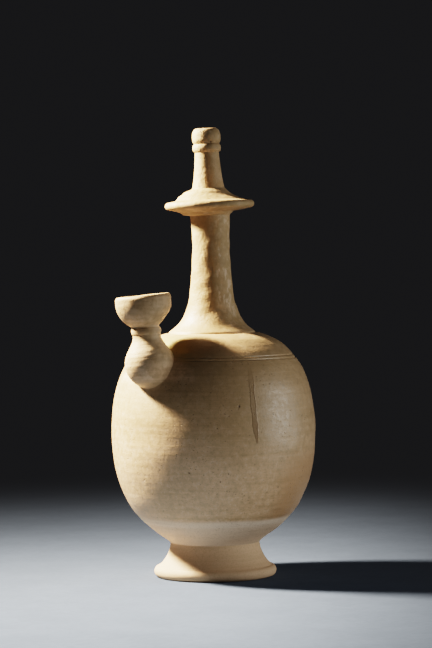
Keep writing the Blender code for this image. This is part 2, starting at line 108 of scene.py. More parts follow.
# Neck
NECK_SEAM_RADIUS = 25.6 * MM
NECK_COVE_ANGLE = math.radians(50)
NECK_COVE_SEAM_PULL = 3.5 * MM
NECK_COVE_TOP_PULL = 13.0 * MM
NECK_COVE_TOP_RADIUS = 14.0 * MM
NECK_COVE_RISE = 16.3 * MM
NECK_TAPER_ANGLE = math.radians(15.5)
NECK_TAPER_PULL = 7.8 * MM
NECK_WAIST_PULL = 3.0 * MM
NECK_WAIST_RADIUS = 10.9 * MM
NECK_TAPER_RISE = 32.2 * MM
NECK_TOP_RADIUS = 11.6 * MM
NECK_FLARE_RISE = 19.7 * MM
NECK_WALL = 3.4 * MM

# Flange
FLANGE_RADIUS = 26.1 * MM
FLANGE_RIM_THICKNESS = 4.4 * MM
FLANGE_RIM_RISE = 6.0 * MM
FLANGE_STEP_RADIUS = 15.4 * MM
FLANGE_STEP_DEPTH = 1.3 * MM
FLANGE_UNDERSIDE_RISE = 1.8 * MM
FLANGE_BRIM_WIDTH = 4.1 * MM
FLANGE_BRIM_RISE = 0.8 * MM
FLANGE_LEDGE_RADIUS = 14.0 * MM
FLANGE_LEDGE_ROUNDING = 1.0 * MM
FLANGE_LEDGE_RISE = 7.7 * MM

# Tube and its ring
TUBE_BASE_RADIUS = 9.6 * MM
TUBE_BASE_RISE = 1.9 * MM
TUBE_BASE_WALL = 4.4 * MM
TUBE_FLARE_INWARD_PULL = 1.6 * MM
TUBE_FLARE_UPWARD_PULL = 4.6 * MM
TUBE_TOP_PULL = 1.9 * MM
TUBE_TOP_RADIUS = 7.05 * MM
TUBE_LENGTH = 21.1 * MM
TUBE_WALL = 2.7 * MM
RING_HEIGHT = 4.9 * MM
RING_PROJECTION = 1.25 * MM

# Mouth
MOUTH_NECK_RADIUS = 7.35 * MM
MOUTH_NECK_PULL = 1.25 * MM
MOUTH_RADIUS = 8.35 * MM
MOUTH_SWELL_RISE = 4.1 * MM
MOUTH_SWELL_PULL = 2.05 * MM
MOUTH_LIP_RISE = 4.9 * MM
MOUTH_LIP_PULL = 2.9 * MM
MOUTH_LIP_WIDTH = 1.2 * MM
MOUTH_LIP_INWARD_PULL = 1.6 * MM
MOUTH_LIP_ROUNDING = 1.0 * MM
MOUTH_WALL = 4.05 * MM

# Lean of the upper section
LEAN_WAY = Vector((math.cos(math.radians(132)), math.sin(math.radians(132)), 0.0))
FLANGE_TILT = math.radians(1.6)
TILT_START_BELOW_NECK_TOP = 12.0 * MM
TUBE_OFFSET = 0.25 * MM
FLANGE_HUB_OFFSET = 1.6 * MM

# Filling spout
SPOUT_SEAT_DROP = 17.7 * MM
BULB_STANDOFF = 3.5 * MM
SPOUT_LEAN = math.radians(5.0)
BULB_RADIUS = 14.0 * MM
BULB_WALL = 3.6 * MM
BULB_SHOULDER_ANGLE = math.radians(24)
BULB_SHOULDER_PULL = 4.0 * MM
SPOUT_NECK_RISE = 1.8 * MM
SPOUT_NECK_RADIUS = 8.0 * MM
SPOUT_NECK_PULL = 3.6 * MM
SPOUT_NECK_WALL = 3.4 * MM
COLLAR_RISE = 1.1 * MM
COLLAR_HEIGHT = 3.6 * MM
COLLAR_PROJECTION = 0.6 * MM
CUP_FOOT_RADIUS = 8.1 * MM
CUP_FOOT_RISE = 0.9 * MM
CUP_FOOT_OUTWARD_PULL = 4.0 * MM
CUP_FOOT_UPWARD_PULL = 2.3 * MM
CUP_RADIUS = 15.95 * MM
CUP_RISE = 13.2 * MM
CUP_SIDE_PULL = 6.4 * MM
CUP_LIP_RISE = 4.6 * MM
CUP_WALL = 3.4 * MM

# Heights above the floor
BELLY_HEIGHT = FOOT_HEIGHT + BELLY_RISE
SHOULDER_TOP = BELLY_HEIGHT + SHOULDER_RISE
NECK_COVE_TOP = SHOULDER_TOP + NECK_COVE_RISE
NECK_WAIST_HEIGHT = NECK_COVE_TOP + NECK_TAPER_RISE
NECK_TOP = NECK_WAIST_HEIGHT + NECK_FLARE_RISE
FLANGE_RIM_HEIGHT = NECK_TOP + FLANGE_RIM_RISE
FLANGE_LEDGE_HEIGHT = FLANGE_RIM_HEIGHT + FLANGE_LEDGE_RISE
TUBE_BASE_HEIGHT = FLANGE_LEDGE_HEIGHT + TUBE_BASE_RISE
TUBE_TOP = TUBE_BASE_HEIGHT + TUBE_LENGTH
RING_TOP = TUBE_TOP + RING_HEIGHT
MOUTH_WIDEST_HEIGHT = RING_TOP + MOUTH_SWELL_RISE
VESSEL_TOP = MOUTH_WIDEST_HEIGHT + MOUTH_LIP_RISE

# Heights along the spout's own axis, from the bulb's centre
SPOUT_NECK_BOTTOM = BULB_RADIUS + SPOUT_NECK_RISE
COLLAR_BOTTOM = SPOUT_NECK_BOTTOM + COLLAR_RISE
CUP_FOOT_HEIGHT = COLLAR_BOTTOM + COLLAR_HEIGHT + CUP_FOOT_RISE
CUP_WIDEST_HEIGHT = CUP_FOOT_HEIGHT + CUP_RISE

# Radii that follow
LOWER_LINE_RADIUS = BELLY_RADIUS - LOWER_LINE_INSET
UPPER_LINE_RADIUS = LOWER_LINE_RADIUS - INCISED_LINE_SPACING
FLANGE_SLOPE_RADIUS = FLANGE_RADIUS - FLANGE_RIM_THICKNESS / 2 - FLANGE_BRIM_WIDTH
NECK_BORE_RADIUS = NECK_WAIST_RADIUS - NECK_WALL
MOUTH_BORE_RADIUS = MOUTH_RADIUS - MOUTH_WALL
SPOUT_BORE_RADIUS = SPOUT_NECK_RADIUS - SPOUT_NECK_WALL
BULB_HOLLOW_RADIUS = BULB_RADIUS - BULB_WALL
CUP_INSIDE_RADIUS = CUP_RADIUS - CUP_WALL

# The seen side of the vessel, as the angle from +X round to the viewer
SEEN_SIDE = math.radians(-138)

# Ends of the profile's curves
FOOT_WAIST = (FOOT_WAIST_RADIUS, FOOT_HEIGHT)
BELLY = (BELLY_RADIUS, BELLY_HEIGHT)
NECK_SEAM = (NECK_SEAM_RADIUS, SHOULDER_TOP)

# Fineness of the grids
VESSEL_COLUMNS = 176
SPOUT_COLUMNS = 168
OUTSIDE_STEP = 1.1 * MM
INSIDE_STEP = 6.0 * MM
FINE_STEP = 0.16 * MM
FINE_REACH = 1.6 * MM
OUTSIDE_TURN = math.radians(12)
CURVE_POINTS = 60
PROFILE_ROUNDING = 0.14 * MM

# Pitches of the hand-made unevenness, how far lines wander, and where they are sharpest
BODY_RIDGE_PITCH = 3.1 * MM
TUBE_RIDGE_PITCH = 1.6 * MM
BODY_LUMP_PITCH = 14 * MM
NECK_LUMP_PITCH = 7 * MM
OVAL_TWIST_HEIGHT = 30 * MM
LINE_WANDER = 0.22 * MM
SHARPEST_LINES = math.radians(60)
SEAM_WANDER = 0.3 * MM
SEAM_WIDTH = 0.55 * MM
GLAZE_STEP_HEIGHT = 36.6 * MM
GLAZE_STEP_WANDER = 1.2 * MM
GLAZE_STEP_WIDTH = 0.8 * MM
SLUMP_RISE = 3.5 * MM
SLUMP_REACH = 4.0 * MM

# Places on the seen side, as degrees to the right of its middle, and heights in millimetres
RUN_TOP = 129.0
RUN_END = 80.3
RUN_DEGREES = 23.0
RUN_BOW_DEGREES = 1.6
RUN_HALF_WIDTH = 1.15
SHORT_RUN_TOP = 127.0
SHORT_RUN_END = 111.0
SHORT_RUN_DEGREES = -0.9
SHORT_RUN_HALF_WIDTH = RUN_HALF_WIDTH * 1.6
MM_PER_DEGREE = math.radians(56.0)
GLAZE_END = 36.0
SECOND_EDGE = 32.1
PITS = (
    (14.4, 102.0, 0.75), (6.1, 98.1, 0.4), (2.2, 90.0, 0.4), (-14.0, 64.9, 0.55), (8.1, 64.1, 0.5),
    (3.5, 59.6, 0.5), (40.9, 55.0, 0.6), (-44.6, 59.7, 0.55), (-45.1, 37.9, 0.5), (5.6, 252.5, 0.9),
)

# Camera, as fitted to the photograph
VIEW_DISTANCE = 1.5
VIEW_HEIGHT = 0.192
VIEW_AZIMUTH = math.radians(-48)
VIEW_RIGHT = Vector((math.cos(VIEW_AZIMUTH), math.sin(VIEW_AZIMUTH), 0.0))
VIEW_BEHIND = Vector((-math.sin(VIEW_AZIMUTH), math.cos(VIEW_AZIMUTH), 0.0))
LOOK_AZIMUTH = math.radians(48.089)
LOOK_DOWN = math.radians(1.725)
VIEW_ROLL = math.radians(0.8)
LENS_MM = 143.0
SENSOR_MM = 36.0

# Stage: where the painted light on the floor fades, in metres from the vessel, and how the lights stand
FADE_START = -0.34
FADE_END = 0.78
TAIL_START = 0.2
TAIL_END = 1.25
TAIL_SHARE = 0.13
FADE_SLANT = 1.0
SIDE_FADE_START = -0.02
SIDE_FADE_END = 0.26
POOL_REACH = 0.36
KEY_DISTANCE = 0.52
KEY_WIDTH = 0.075
KEY_BEHIND = math.radians(9)
KEY_RISE = math.radians(39.5)
KEY_COLOUR = (1.0, 0.85, 0.70)
FILL_DISTANCE = 1.0
FILL_WIDTH = 0.6
FILL_FROM_FRONT = 0.2
FILL_COLOUR = (0.97, 1.0, 1.02)
FLOOR_HALF_WIDTH = 12.0


def rgb(colour):
    """A colour with full opacity, as a socket takes it."""
    return (*colour, 1.0)


def number(name, description, default, least=0.0, most=1.0, **kind):
    """A number that a user may change."""
    return bpy.props.FloatProperty(
        name=name, description=description, default=default, min=least, max=most, **kind
    )


# A length in metres, a share from 0 to 1, and the watts of a light
length = partial(number, unit="LENGTH")
portion = partial(number, subtype="FACTOR")
power = partial(number, most=1000.0, unit="POWER")


def tint(name, description, default):
    """A colour that a user may change."""
    return bpy.props.FloatVectorProperty(
        name=name, description=description, default=default, size=3, min=0.0, max=1.0, subtype="COLOR"
    )


class VesselSizes(bpy.types.PropertyGroup):
    """Sizes of the hand-made unevenness on the body, neck, flange and tube."""

    ridge_depth: length("Throwing ridges", "Depth of the ridges that fingers left on the wheel", 0.04 * MM)
    oval_depth: length("Ovalness", "How far the body is from round", 0.12 * MM)
    line_depth: length("Incised lines", "Depth of the two lines round the shoulder", 0.42 * MM)
    line_width: length("Incised line width", "Width of each line round the shoulder", 0.75 * MM)
    seam_depth: length("Luting seam", "Depth of the seam where the neck stands on the shoulder", 0.5 * MM)
    lump_depth: length("Lumps", "Depth of the broad hollows and lumps of the thrown wall", 0.2 * MM)
    glaze_step: length("Glaze edge", "Thickness of the glaze where it ends above the foot", 0.08 * MM)


class SpoutSizes(bpy.types.PropertyGroup):
    """Sizes of the hand-made unevenness on the filling spout, and of the clay round its joint."""

    ridge_depth: length("Throwing ridges", "Depth of the ridges on the bulb", 0.16 * MM)
    ridge_pitch: length("Ridge pitch", "Distance from one ridge to the next", 1.7 * MM, 0.1 * MM)
    fillet: length("Joint clay", "Width of the clay smoothed round the joint", 3.0 * MM, 0.1 * MM)
    slump: length("Cup slump", "How far one side of the cup is pressed in", 0.95 * MM, 0.0, 2.0 * MM)
    lip_wander: length("Lip unevenness", "How far the cup's lip rises and falls", 0.25 * MM)


class GlazeLook(bpy.types.PropertyGroup):
    """Colours and gloss of the glaze and the bare clay."""

    thin_glaze: tint("Thin glaze", "Colour of the thin glaze over the slip", (0.69, 0.485, 0.312))
    pooled_glaze: tint("Pooled glaze", "Colour of the glaze where it is thicker", (0.395, 0.28, 0.145))
    pale_slip: tint("Pale slip", "Colour of the slip where the glaze ends", (0.79, 0.645, 0.505))
    biscuit: tint("Biscuit", "Colour of the bare fired clay of the foot", (0.67, 0.485, 0.325))
    # Partly painted shade: an olive laid round the spout's joint, both glaze pooled there and the hue of
    # the spout's shadow above the bulb.
    joint_glaze_and_shade: tint("Joint glaze", "Colour of the glaze pooled at the spout's joint", (0.36, 0.31, 0.12))
    ruddy: tint("Ruddy clay", "Colour of the clay that shows pink through the slip", (0.55, 0.34, 0.19))
    run: tint("Glaze run", "Colour of the thick glaze that ran down the shoulder", (0.25, 0.15, 0.062))
    speck: tint("Specks", "Colour of the dark specks and of the soil in the pinholes", (0.16, 0.10, 0.05))
    glaze_roughness: portion("Glaze roughness", "Roughness of the worn glaze", 0.46)
    biscuit_roughness: portion("Biscuit roughness", "Roughness of the bare clay", 0.78)


class StageLook(bpy.types.PropertyGroup):
    """The floor and the lights."""

    floor_colour: tint("Floor", "Colour of the floor round the vessel", (0.219, 0.275, 0.353))
    # Not the floor's own colour: the painted dark that the floor fades to where its painted light falls
    # off, also used for its mottle.
    painted_dark_colour: tint("Far floor", "Colour of the floor far behind the vessel", (0.0, 0.0, 0.0))
    room_colour: tint("Room", "Colour of the dark room behind", (0.026, 0.026, 0.0275))
    key_watts: power("Key light", "Power of the light on the left", 16.4)
    fill_watts: power("Fill light", "Power of the light on the right", 5.2)


def cubic(start, start_pull, end_pull, end):
    """Points of a cubic curve, without its first.

    Each point is the sum of the four given points, weighted by the terms of ((1 - t) + t) cubed.
    """
    t = np.arange(1, CURVE_POINTS + 1)[:, None] / CURVE_POINTS
    corners = [np.asarray(point, float) for point in (start, start_pull, end_pull, end)]
    return (
        (1 - t) ** 3 * corners[0] + 3 * (1 - t) ** 2 * t * corners[1]
        + 3 * (1 - t) * t**2 * corners[2] + t**3 * corners[3]
    )


def along(start, angle, distance):
    """The point at a distance from another, at an angle up from the outward direction."""
    return (start[0] + distance * math.cos(angle), start[1] + distance * math.sin(angle))


def moved(point, out, up):
    """The point moved by a distance outwards and a distance up."""
    return (point[0] + out, point[1] + up)


def arc(centre, half_width, half_height, first_angle, last_angle):
    """Points of an ellipse's arc: the centre, plus the cosine and sine of an angle times its half sizes."""
    angle = np.linspace(first_angle, last_angle, CURVE_POINTS // 2 + 1)
    return np.stack([centre[0] + half_width * np.cos(angle), centre[1] + half_height * np.sin(angle)], 1)


def bulge(middle, projection, half_height):
    """A half-round moulding: the outer half of an ellipse, from its foot to its top."""
    return arc(middle, projection, half_height, -QUARTER_TURN, QUARTER_TURN)


def length_along(points):
    """The distance along a line of points from its first to each of them."""
    return np.concatenate([[0.0], np.cumsum(np.hypot(*np.diff(points, axis=0).T))])


def normals(points):
    """The unit vector to the right of the way that a line of points runs, at each of them."""
    run = np.gradient(points, axis=0)
    run /= np.hypot(*run.T)[:, None]
    return np.stack([run[:, 1], -run[:, 0]], 1)


def rounded(points, radius):
    """A profile with its corners softened: each point becomes the mean of those within a radius along it.

    The profile is first read at even steps. The mean is two passes of a box, and the ends stay in place.
    """
    at = length_along(points)
    reach = 4
    even = np.linspace(0.0, at[-1], int(at[-1] / (radius / reach)) + 2)
    smooth = np.stack([np.interp(even, at, points[:, axis]) for axis in range(2)], 1)
    for _ in range(2):
        padded = np.pad(smooth, ((reach, reach), (0, 0)), mode="reflect", reflect_type="odd")
        total = np.vstack([np.zeros((1, 2)), np.cumsum(padded, 0)])
        smooth = (total[2 * reach + 1 :] - total[: -2 * reach - 1]) / (2 * reach + 1)
    return smooth


def where_shoulder(points, radius):
    """The distance along a profile at which the shoulder passes a radius on its way in."""
    rows = np.nonzero((points[:, 1] > BELLY_HEIGHT) & (points[:, 1] < SHOULDER_TOP + MM))[0]
    return float(np.interp(-radius, -points[rows, 0], length_along(points)[rows]))


def lower_body():
    """The body's outside from the waist of the foot to the belly, as one cubic curve."""
    waist_pull = along(FOOT_WAIST, BODY_ANGLE_AT_FOOT, BODY_FOOT_PULL)
    return cubic(FOOT_WAIST, waist_pull, moved(BELLY, 0, -BODY_BELLY_PULL), BELLY)


def shoulder():
    """The body's outside from the belly to the seam of the neck, as one cubic curve."""
    seam_pull = along(NECK_SEAM, -SHOULDER_ANGLE_AT_NECK, SHOULDER_NECK_PULL)
    return cubic(BELLY, moved(BELLY, 0, SHOULDER_BELLY_PULL), seam_pull, NECK_SEAM)


def body_wall():
    """The body's outside, from the waist of the foot over the belly to the seam of the neck."""
    return np.vstack([[FOOT_WAIST], lower_body(), shoulder()])


def foot_profile():
    """The flat underside, the round bead, the groove above it and the flare up to the waist."""
    half = FOOT_BEAD_HEIGHT / 2
    groove = (FOOT_CONTACT_RADIUS - FOOT_BEAD_GROOVE_DEPTH, FOOT_BEAD_HEIGHT + FOOT_BEAD_GROOVE_DEPTH)
    groove_pull = moved(groove, -FOOT_FLARE_INWARD_PULL, FOOT_FLARE_UPWARD_PULL)
    flare = cubic(groove, groove_pull, moved(FOOT_WAIST, 0, -FOOT_WAIST_PULL), FOOT_WAIST)
    bead = bulge((FOOT_CONTACT_RADIUS, half), FOOT_BEAD_PROJECTION, half)
    return np.vstack([[(0, 0)], bead, [groove], flare])


def neck_profile():
    """The neck as three cubic curves: the cove at its seam, the taper, and the flare under the flange."""
    cove_top = (NECK_COVE_TOP_RADIUS, NECK_COVE_TOP)
    waist = (NECK_WAIST_RADIUS, NECK_WAIST_HEIGHT)
    upward = QUARTER_TURN + NECK_TAPER_ANGLE
    third = NECK_FLARE_RISE / 3
    seam_pull = along(NECK_SEAM, math.pi - NECK_COVE_ANGLE, NECK_COVE_SEAM_PULL)
    cove = cubic(NECK_SEAM, seam_pull, along(cove_top, upward, -NECK_COVE_TOP_PULL), cove_top)
    taper_pull = along(cove_top, upward, NECK_TAPER_PULL)
    taper = cubic(cove_top, taper_pull, moved(waist, 0, -NECK_WAIST_PULL), waist)
    top_pull = (NECK_WAIST_RADIUS, NECK_TOP - third)
    flare = cubic(waist, moved(waist, 0, third), top_pull, (NECK_TOP_RADIUS, NECK_TOP))
    return np.vstack([cove, taper, flare])


def flange_profile():
    """The step under the flange, its half-round rim, and its slope up to the ledge of the tube."""
    half = FLANGE_RIM_THICKNESS / 2
    step = (FLANGE_STEP_RADIUS, FLANGE_RIM_HEIGHT - half - FLANGE_UNDERSIDE_RISE)
    ledge = (FLANGE_LEDGE_RADIUS, FLANGE_LEDGE_HEIGHT)
    return np.vstack([
        [moved(step, -FLANGE_STEP_DEPTH, -FLANGE_STEP_DEPTH), step],
        bulge((FLANGE_RADIUS - half, FLANGE_RIM_HEIGHT), half, half),
        [(FLANGE_SLOPE_RADIUS, FLANGE_RIM_HEIGHT + half + FLANGE_BRIM_RISE)],
        [moved(ledge, 0, -FLANGE_LEDGE_ROUNDING), moved(ledge, -FLANGE_LEDGE_ROUNDING, 0)],
    ])


def tube_profile():
    """The tapered tube as a cubic curve, and the half-round ring at its top."""
    base = (TUBE_BASE_RADIUS, TUBE_BASE_HEIGHT)
    top = (TUBE_TOP_RADIUS, TUBE_TOP)
    base_pull = moved(base, -TUBE_FLARE_INWARD_PULL, TUBE_FLARE_UPWARD_PULL)
    taper = cubic(base, base_pull, moved(top, 0, -TUBE_TOP_PULL), top)
    ring = bulge(moved(top, 0, RING_HEIGHT / 2), RING_PROJECTION, RING_HEIGHT / 2)
    return np.vstack([[base], taper, ring[1:-1]])


def mouth_profile():
    """The swell above the ring and its rounded lip, as two cubic curves."""
    bottom = (MOUTH_NECK_RADIUS, RING_TOP)
    widest = (MOUTH_RADIUS, MOUTH_WIDEST_HEIGHT)
    lip = (MOUTH_BORE_RADIUS + MOUTH_LIP_WIDTH, VESSEL_TOP)
    bottom_pull = (MOUTH_RADIUS, RING_TOP + MOUTH_NECK_PULL)
    swell = cubic(bottom, bottom_pull, moved(widest, 0, -MOUTH_SWELL_PULL), widest)
    round_lip = cubic(widest, moved(widest, 0, MOUTH_LIP_PULL), moved(lip, MOUTH_LIP_INWARD_PULL, 0), lip)
    return np.vstack([[bottom], swell, round_lip])


def vessel_outside():
    """The whole outside of the foot, body, neck, flange and tube, from the middle of the underside."""
    neck, flange = neck_profile(), flange_profile()
    return np.vstack([foot_profile(), body_wall()[1:], neck, flange, tube_profile(), mouth_profile()])


def vessel_inside():
    """Down the bore, through the neck and round the hollow body to the middle of its floor."""
    hollow = body_wall() - BODY_WALL * normals(body_wall())
    neck_bottom = (NECK_BORE_RADIUS, NECK_COVE_TOP)
    edge = hollow[0]
    bore = [
        (MOUTH_BORE_RADIUS, VESSEL_TOP - MOUTH_LIP_ROUNDING),
        (TUBE_TOP_RADIUS - TUBE_WALL, TUBE_TOP),
        (TUBE_BASE_RADIUS - TUBE_BASE_WALL, TUBE_BASE_HEIGHT),
        (NECK_BORE_RADIUS, NECK_TOP - NECK_WALL),
        neck_bottom,
    ]
    neck_pull = (NECK_BORE_RADIUS, SHOULDER_TOP + NECK_WALL)
    cove = cubic(neck_bottom, neck_pull, (NECK_BORE_RADIUS + NECK_WALL * 2, hollow[-1][1]), hollow[-1])
    edge_pull = along(edge, BODY_ANGLE_AT_FOOT, (BASE_THICKNESS - edge[1]) / 2)
    floor = cubic(edge, edge_pull, (edge[0] * FLOOR_FLAT_SHARE, BASE_THICKNESS), (0.0, BASE_THICKNESS))
    return np.vstack([bore, cove, hollow[-2::-1], floor])


def bulb_profile():
    """The bulb as an arc, its rise to the spout's neck as a cubic curve, and the half-round collar."""
    bulb = arc((0.0, 0.0), BULB_RADIUS, BULB_RADIUS, -QUARTER_TURN, BULB_SHOULDER_ANGLE)
    neck = (SPOUT_NECK_RADIUS, SPOUT_NECK_BOTTOM)
    bulb_pull = along(bulb[-1], QUARTER_TURN + BULB_SHOULDER_ANGLE, BULB_SHOULDER_PULL)
    rise = cubic(bulb[-1], bulb_pull, moved(neck, 0, -SPOUT_NECK_PULL), neck)
    half = COLLAR_HEIGHT / 2
    collar = bulge((SPOUT_NECK_RADIUS, COLLAR_BOTTOM + half), COLLAR_PROJECTION, half)
    return np.vstack([bulb, rise, collar])


def cup_profile():
    """The cup's wall as a cubic curve, and its lip as half an ellipse."""
    foot = (CUP_FOOT_RADIUS, CUP_FOOT_HEIGHT)
    widest = (CUP_RADIUS, CUP_WIDEST_HEIGHT)
    foot_pull = moved(foot, CUP_FOOT_OUTWARD_PULL, CUP_FOOT_UPWARD_PULL)
    wall = cubic(foot, foot_pull, moved(widest, 0, -CUP_SIDE_PULL), widest)
    half = CUP_LIP_RISE / 2
    lip = arc(moved(widest, -CUP_WALL / 2, half), CUP_WALL / 2, half, 0.0, math.pi)
    return np.vstack([[foot], wall, lip])


def spout_inside():
    """The cup's bowl as a cubic curve, the bore below it, and the hollow bulb as an arc."""
    top = (CUP_INSIDE_RADIUS, CUP_WIDEST_HEIGHT)
    bottom = (SPOUT_BORE_RADIUS, CUP_FOOT_HEIGHT + CUP_WALL)
    bowl = cubic(top, moved(top, 0, -CUP_SIDE_PULL), moved(bottom, CUP_WALL, CUP_WALL / 2), bottom)
    opening = QUARTER_TURN - math.asin(SPOUT_BORE_RADIUS / BULB_HOLLOW_RADIUS)
    hollow = arc((0.0, 0.0), BULB_HOLLOW_RADIUS, BULB_HOLLOW_RADIUS, opening, -QUARTER_TURN)
    return np.vstack([[top], bowl, hollow])


class TurnedProfile:
    """A closed profile of (radius, height) rows, read at steps that shorten where it bends.

    Between two rows lies at most one step of length, or one step of turning, whichever is less.
    """

    def __init__(self, outside, inside, fine_places=()):
        outside = self.spaced(outside, OUTSIDE_STEP, OUTSIDE_TURN, fine_places)
        inside = self.spaced(inside, INSIDE_STEP, 3 * OUTSIDE_TURN)
        self.points = np.vstack([outside, inside])
        self.points[[0, -1], 0] = 0.0
        self.outside = np.arange(len(self.points)) < len(outside)
        self.at = length_along(self.points)
        self.normal = normals(self.points)

    @staticmethod
    def spaced(points, step, turn, fine_places=()):
        """The profile read again at rows, whose count per length grows with its bend and at fine places."""
        at = length_along(points)
        heading = np.unwrap(np.arctan2(*np.diff(points, axis=0).T[::-1]))
        turning = np.abs(np.diff(heading, prepend=heading[0]))
        middle = (at[1:] + at[:-1]) / 2
        fine = sum(hump(middle, place, FINE_REACH) for place in fine_places)
        count = np.diff(at) * (1 / step + fine / FINE_STEP) + turning / turn
        count = np.concatenate([[0.0], np.cumsum(count)])
        rows = np.linspace(0, count[-1], int(math.ceil(count[-1])) + 1)
        return np.stack([np.interp(rows, count, points[:, axis]) for axis in range(2)], 1)


def smooth_ramp(value, start, end):
    """0 before start, 1 after end, and 3t^2 - 2t^3 between them."""
    share = np.clip((value - start) / (end - start), 0.0, 1.0)
    return share * share * (3 - 2 * share)


def within(value, rise_start, rise_end, fall_start, fall_end):
    """1 between two smooth ramps, of which the first rises and the second falls, and 0 beyond them."""
    return smooth_ramp(value, rise_start, rise_end) * (1 - smooth_ramp(value, fall_start, fall_end))


def hump(value, middle, width):
    """A bell of height 1: e to the power of minus the square of the distance over the width."""
    return np.exp(-(((value - middle) / width) ** 2))


def waves(at, angle, pitch, seed, sines):
    """A sum of sines given as (depth, times the pitch along the profile, turns round the vessel).

    Each has a phase of its own, drawn from the seed.
    """
    phase = np.random.default_rng(seed).uniform(0, FULL_TURN, len(sines))
    return sum(
        depth * np.sin(FULL_TURN * at / (pitch * stretch) + turns * angle + start)
        for (depth, stretch, turns), start in zip(sines, phase)
    )


def uneven(at, angle, pitch, seed):
    """Irregular ridges that climb as a slow spiral, so that no ridge closes on itself."""
    return waves(at, angle, pitch, seed, ((0.4, 1.0, 1), (0.3, 1.63, -1), (0.2, 0.71, 2), (0.1, 2.9, 1)))


def wander(angle, seed):
    """A slow irregular wave round the vessel, the same at every height."""
    return waves(0.0, angle, 1.0, seed, ((0.5, 1.0, 1), (0.3, 1.0, 2), (0.2, 1.0, 5)))


def lumps(at, angle, pitch, seed):
    """Broad hollows and lumps, from -1 to 1: the mean of five sines that run aslant on the surface.

    Each has its own pitch along the profile, and one to five waves round it.
    """
    random = np.random.default_rng(seed)
    total = 0.0
    for turns in (1, 2, 3, 4, 5):
        stretch, start = random.uniform(0.7, 2.2), random.uniform(0, FULL_TURN)
        slant = random.choice((-1, 1)) * turns
        total = total + np.sin(FULL_TURN * at / (pitch * stretch) + slant * angle + start) / 5
    return total


def grid_mesh(name, grid):
    """A closed mesh from a grid of points: rows run along a profile, and columns run round.

    The first and the last row are poles, one point each. Each cell of the grid is a quad, and each
    cell at a pole is a triangle.
    """
    rows, columns = grid.shape[:2]
    corners = np.vstack([grid[0, :1], grid[1:-1].reshape(-1, 3), grid[-1, :1]])
    here = np.arange(columns)
    beside = (here + 1) % columns
    base = 1 + np.arange(rows - 3)[:, None] * columns
    quads = np.stack([base + here, base + beside, base + columns + beside, base + columns + here], -1)
    last_ring = 1 + (rows - 3) * columns
    first_fan = np.stack([np.zeros(columns, int), 1 + beside, 1 + here], -1)
    last_fan = np.stack([np.full(columns, len(corners) - 1), last_ring + here, last_ring + beside], -1)
    mesh = bpy.data.meshes.new(name)
    mesh.from_pydata(corners, [], [*quads.reshape(-1, 4).tolist(), *first_fan.tolist(), *last_fan.tolist()])
    mesh.validate()
    mesh.shade_smooth()
    return mesh


def add_piece(name, grid):
    """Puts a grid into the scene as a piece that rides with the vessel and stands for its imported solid.

    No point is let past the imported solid's box.
    """
    old = bpy.data.objects.get(name)
    if old:
        bpy.data.objects.remove(old, do_unlink=True)
    piece = bpy.data.objects.new(name, grid_mesh(name, np.clip(grid, *CAD_BOX)))
    bpy.context.scene.collection.objects.link(piece)
    piece.data.materials.append(glaze_material())
    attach(piece, BODY)
    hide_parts(NODE)


def revolve(profile, angle, relief):
    """The surface that a profile sweeps round Z: (radius cos a, radius sin a, height).

    Relief, one value for each row and column, moves each point along the profile's normal.
    """
    radius = profile.points[:, :1] + profile.normal[:, :1] * relief
    height = profile.points[:, 1:] + profile.normal[:, 1:] * relief
    radius[[0, -1]] = 0.0
    return np.stack([radius * np.cos(angle), radius * np.sin(angle), height], -1)


def lean_upper_section(grid):
    """Tilts what stands above the neck and moves the flange's hub and the tube off its middle.

    Each point turns about a line through the axis by an angle that grows smoothly up the neck's top.
    """
    way = np.array(LEAN_WAY)
    radius = np.hypot(grid[..., 0], grid[..., 1])
    height = grid[..., 2].copy()
    tube = smooth_ramp(height, FLANGE_LEDGE_HEIGHT, TUBE_BASE_HEIGHT)
    hub = (1 - tube) * smooth_ramp(height, NECK_TOP, NECK_TOP + FLANGE_STEP_DEPTH / 2)
    hub *= 1 - smooth_ramp(radius, FLANGE_LEDGE_RADIUS + 2 * MM, FLANGE_SLOPE_RADIUS)
    grid = grid + way * (FLANGE_HUB_OFFSET * hub + TUBE_OFFSET * tube)[..., None]
    start = NECK_TOP - TILT_START_BELOW_NECK_TOP
    angle = FLANGE_TILT * smooth_ramp(height, start, NECK_TOP)
    out = grid @ way
    up = grid[..., 2] - start
    grid = grid + way * (out * (np.cos(angle) - 1) + up * np.sin(angle))[..., None]
    grid[..., 2] = start + up * np.cos(angle) - out * np.sin(angle)
    return grid


def spout_place():
    """The bulb's centre and the spout's axis: a point out from the shoulder, and +Z leant to one side."""
    wall = shoulder()
    height = SHOULDER_TOP - SPOUT_SEAT_DROP
    seat = np.array([np.interp(height, wall[:, 1], wall[:, 0]), height])
    out, up = seat + BULB_STANDOFF * normals(wall)[np.argmin(np.abs(wall[:, 1] - height))]
    return Vector((-out, 0.0, up)), LEAN_WAY * math.sin(SPOUT_LEAN) + UP * math.cos(SPOUT_LEAN)


def beyond_body(points):
    """How far points are outside the body's shoulder, and the way out there.

    Both are read from the nearest point of the shoulder's profile, in the plane through the axis.
    """
    wall = shoulder()
    flat = points.reshape(-1, 3)
    radius = np.hypot(flat[:, 0], flat[:, 1])
    place = np.stack([radius, flat[:, 2]], 1)
    nearest = np.argmin(((place[:, None] - wall) ** 2).sum(-1), 1)
    out = normals(wall)[nearest]
    apart = ((place - wall[nearest]) * out).sum(1)
    scale = out[:, 0] / np.maximum(radius, MM)
    direction = np.stack([flat[:, 0] * scale, flat[:, 1] * scale, out[:, 1]], 1)
    return apart.reshape(points.shape[:-1]), direction.reshape(points.shape)


def joint_clay(apart, width):
    """How far a surface rises where another surface is near: a quarter of the width at their meeting.

    It falls with the square of the distance, to nothing at one width.
    """
    share = np.clip(1 - apart / width, 0.0, 1.0)
    return share * share * width / 4


